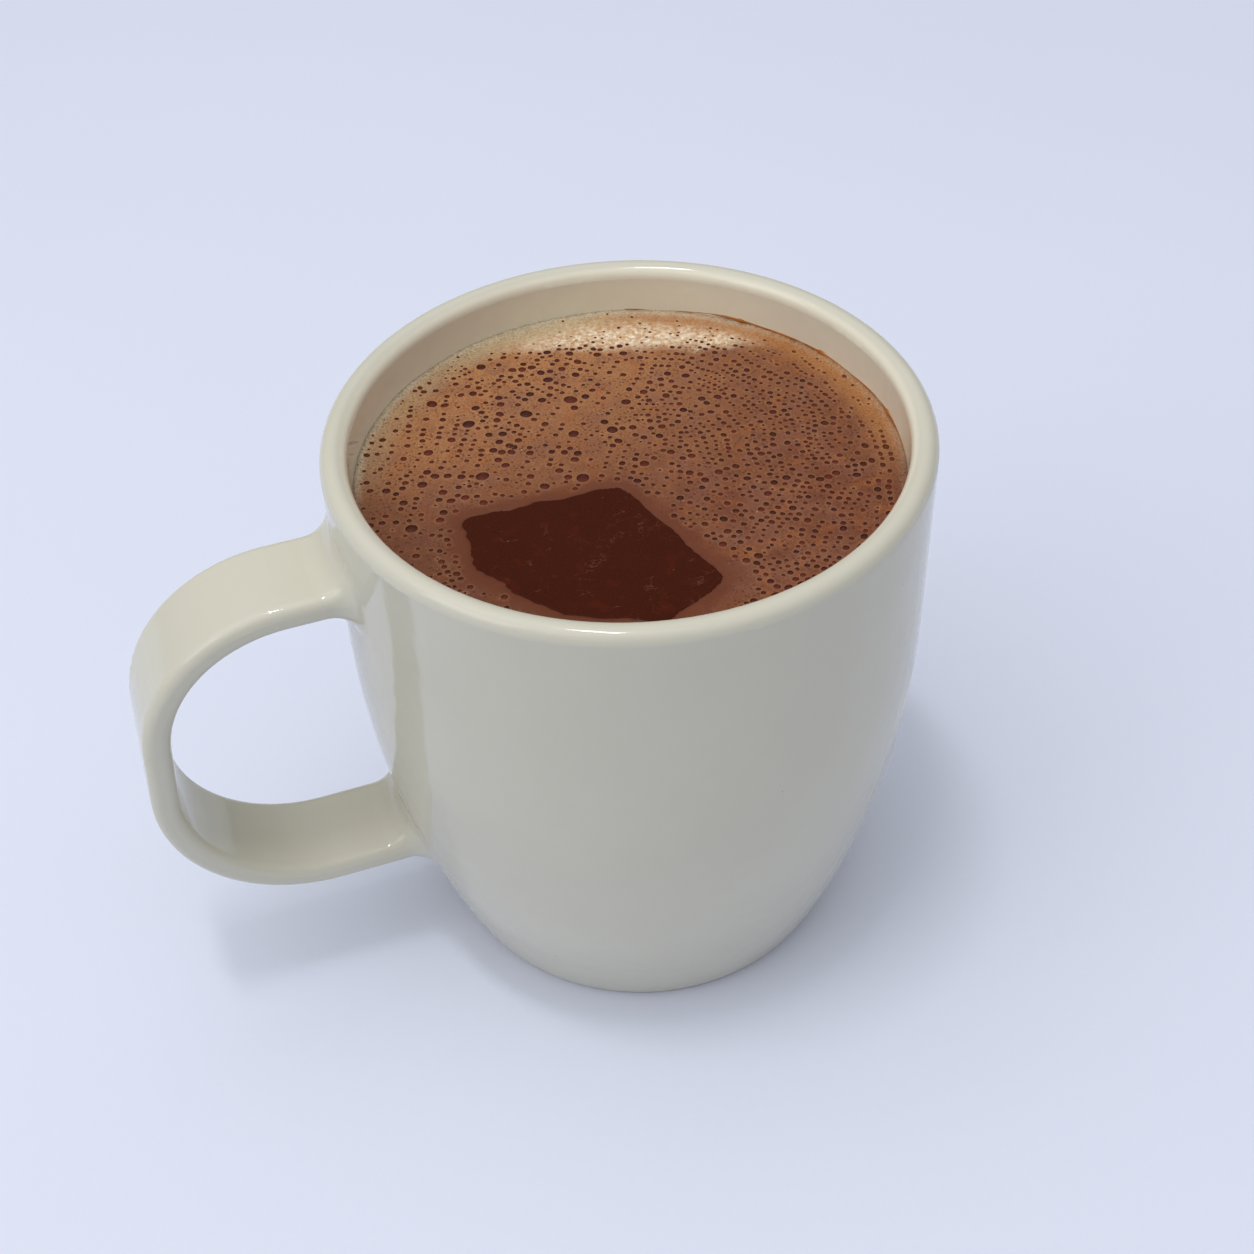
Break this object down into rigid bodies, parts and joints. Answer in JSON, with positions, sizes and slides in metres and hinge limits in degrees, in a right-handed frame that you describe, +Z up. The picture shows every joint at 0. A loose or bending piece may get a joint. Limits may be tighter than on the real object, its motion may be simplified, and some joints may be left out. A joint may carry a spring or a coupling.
{
  "type": "hot chocolate",
  "caption": "Hot chocolate with thin bubbly foam in a rounded stoneware mug with a wide strap handle, for drinking.",
  "frame": {"origin": "on the mug's axis, in the plane of the foot ring", "axes": "+Z up along the mug's axis, -X towards the middle of the handle"},
  "size_m": [0.1178, 0.085, 0.0892],
  "materials": {
    "glaze": "gloss",
    "chocolate": "gloss",
    "froth": "satin"
  },
  "bodies": {
    "root": {"mug": "glaze", "drink": "chocolate", "foam": "froth"}
  },
  "joints": []
}
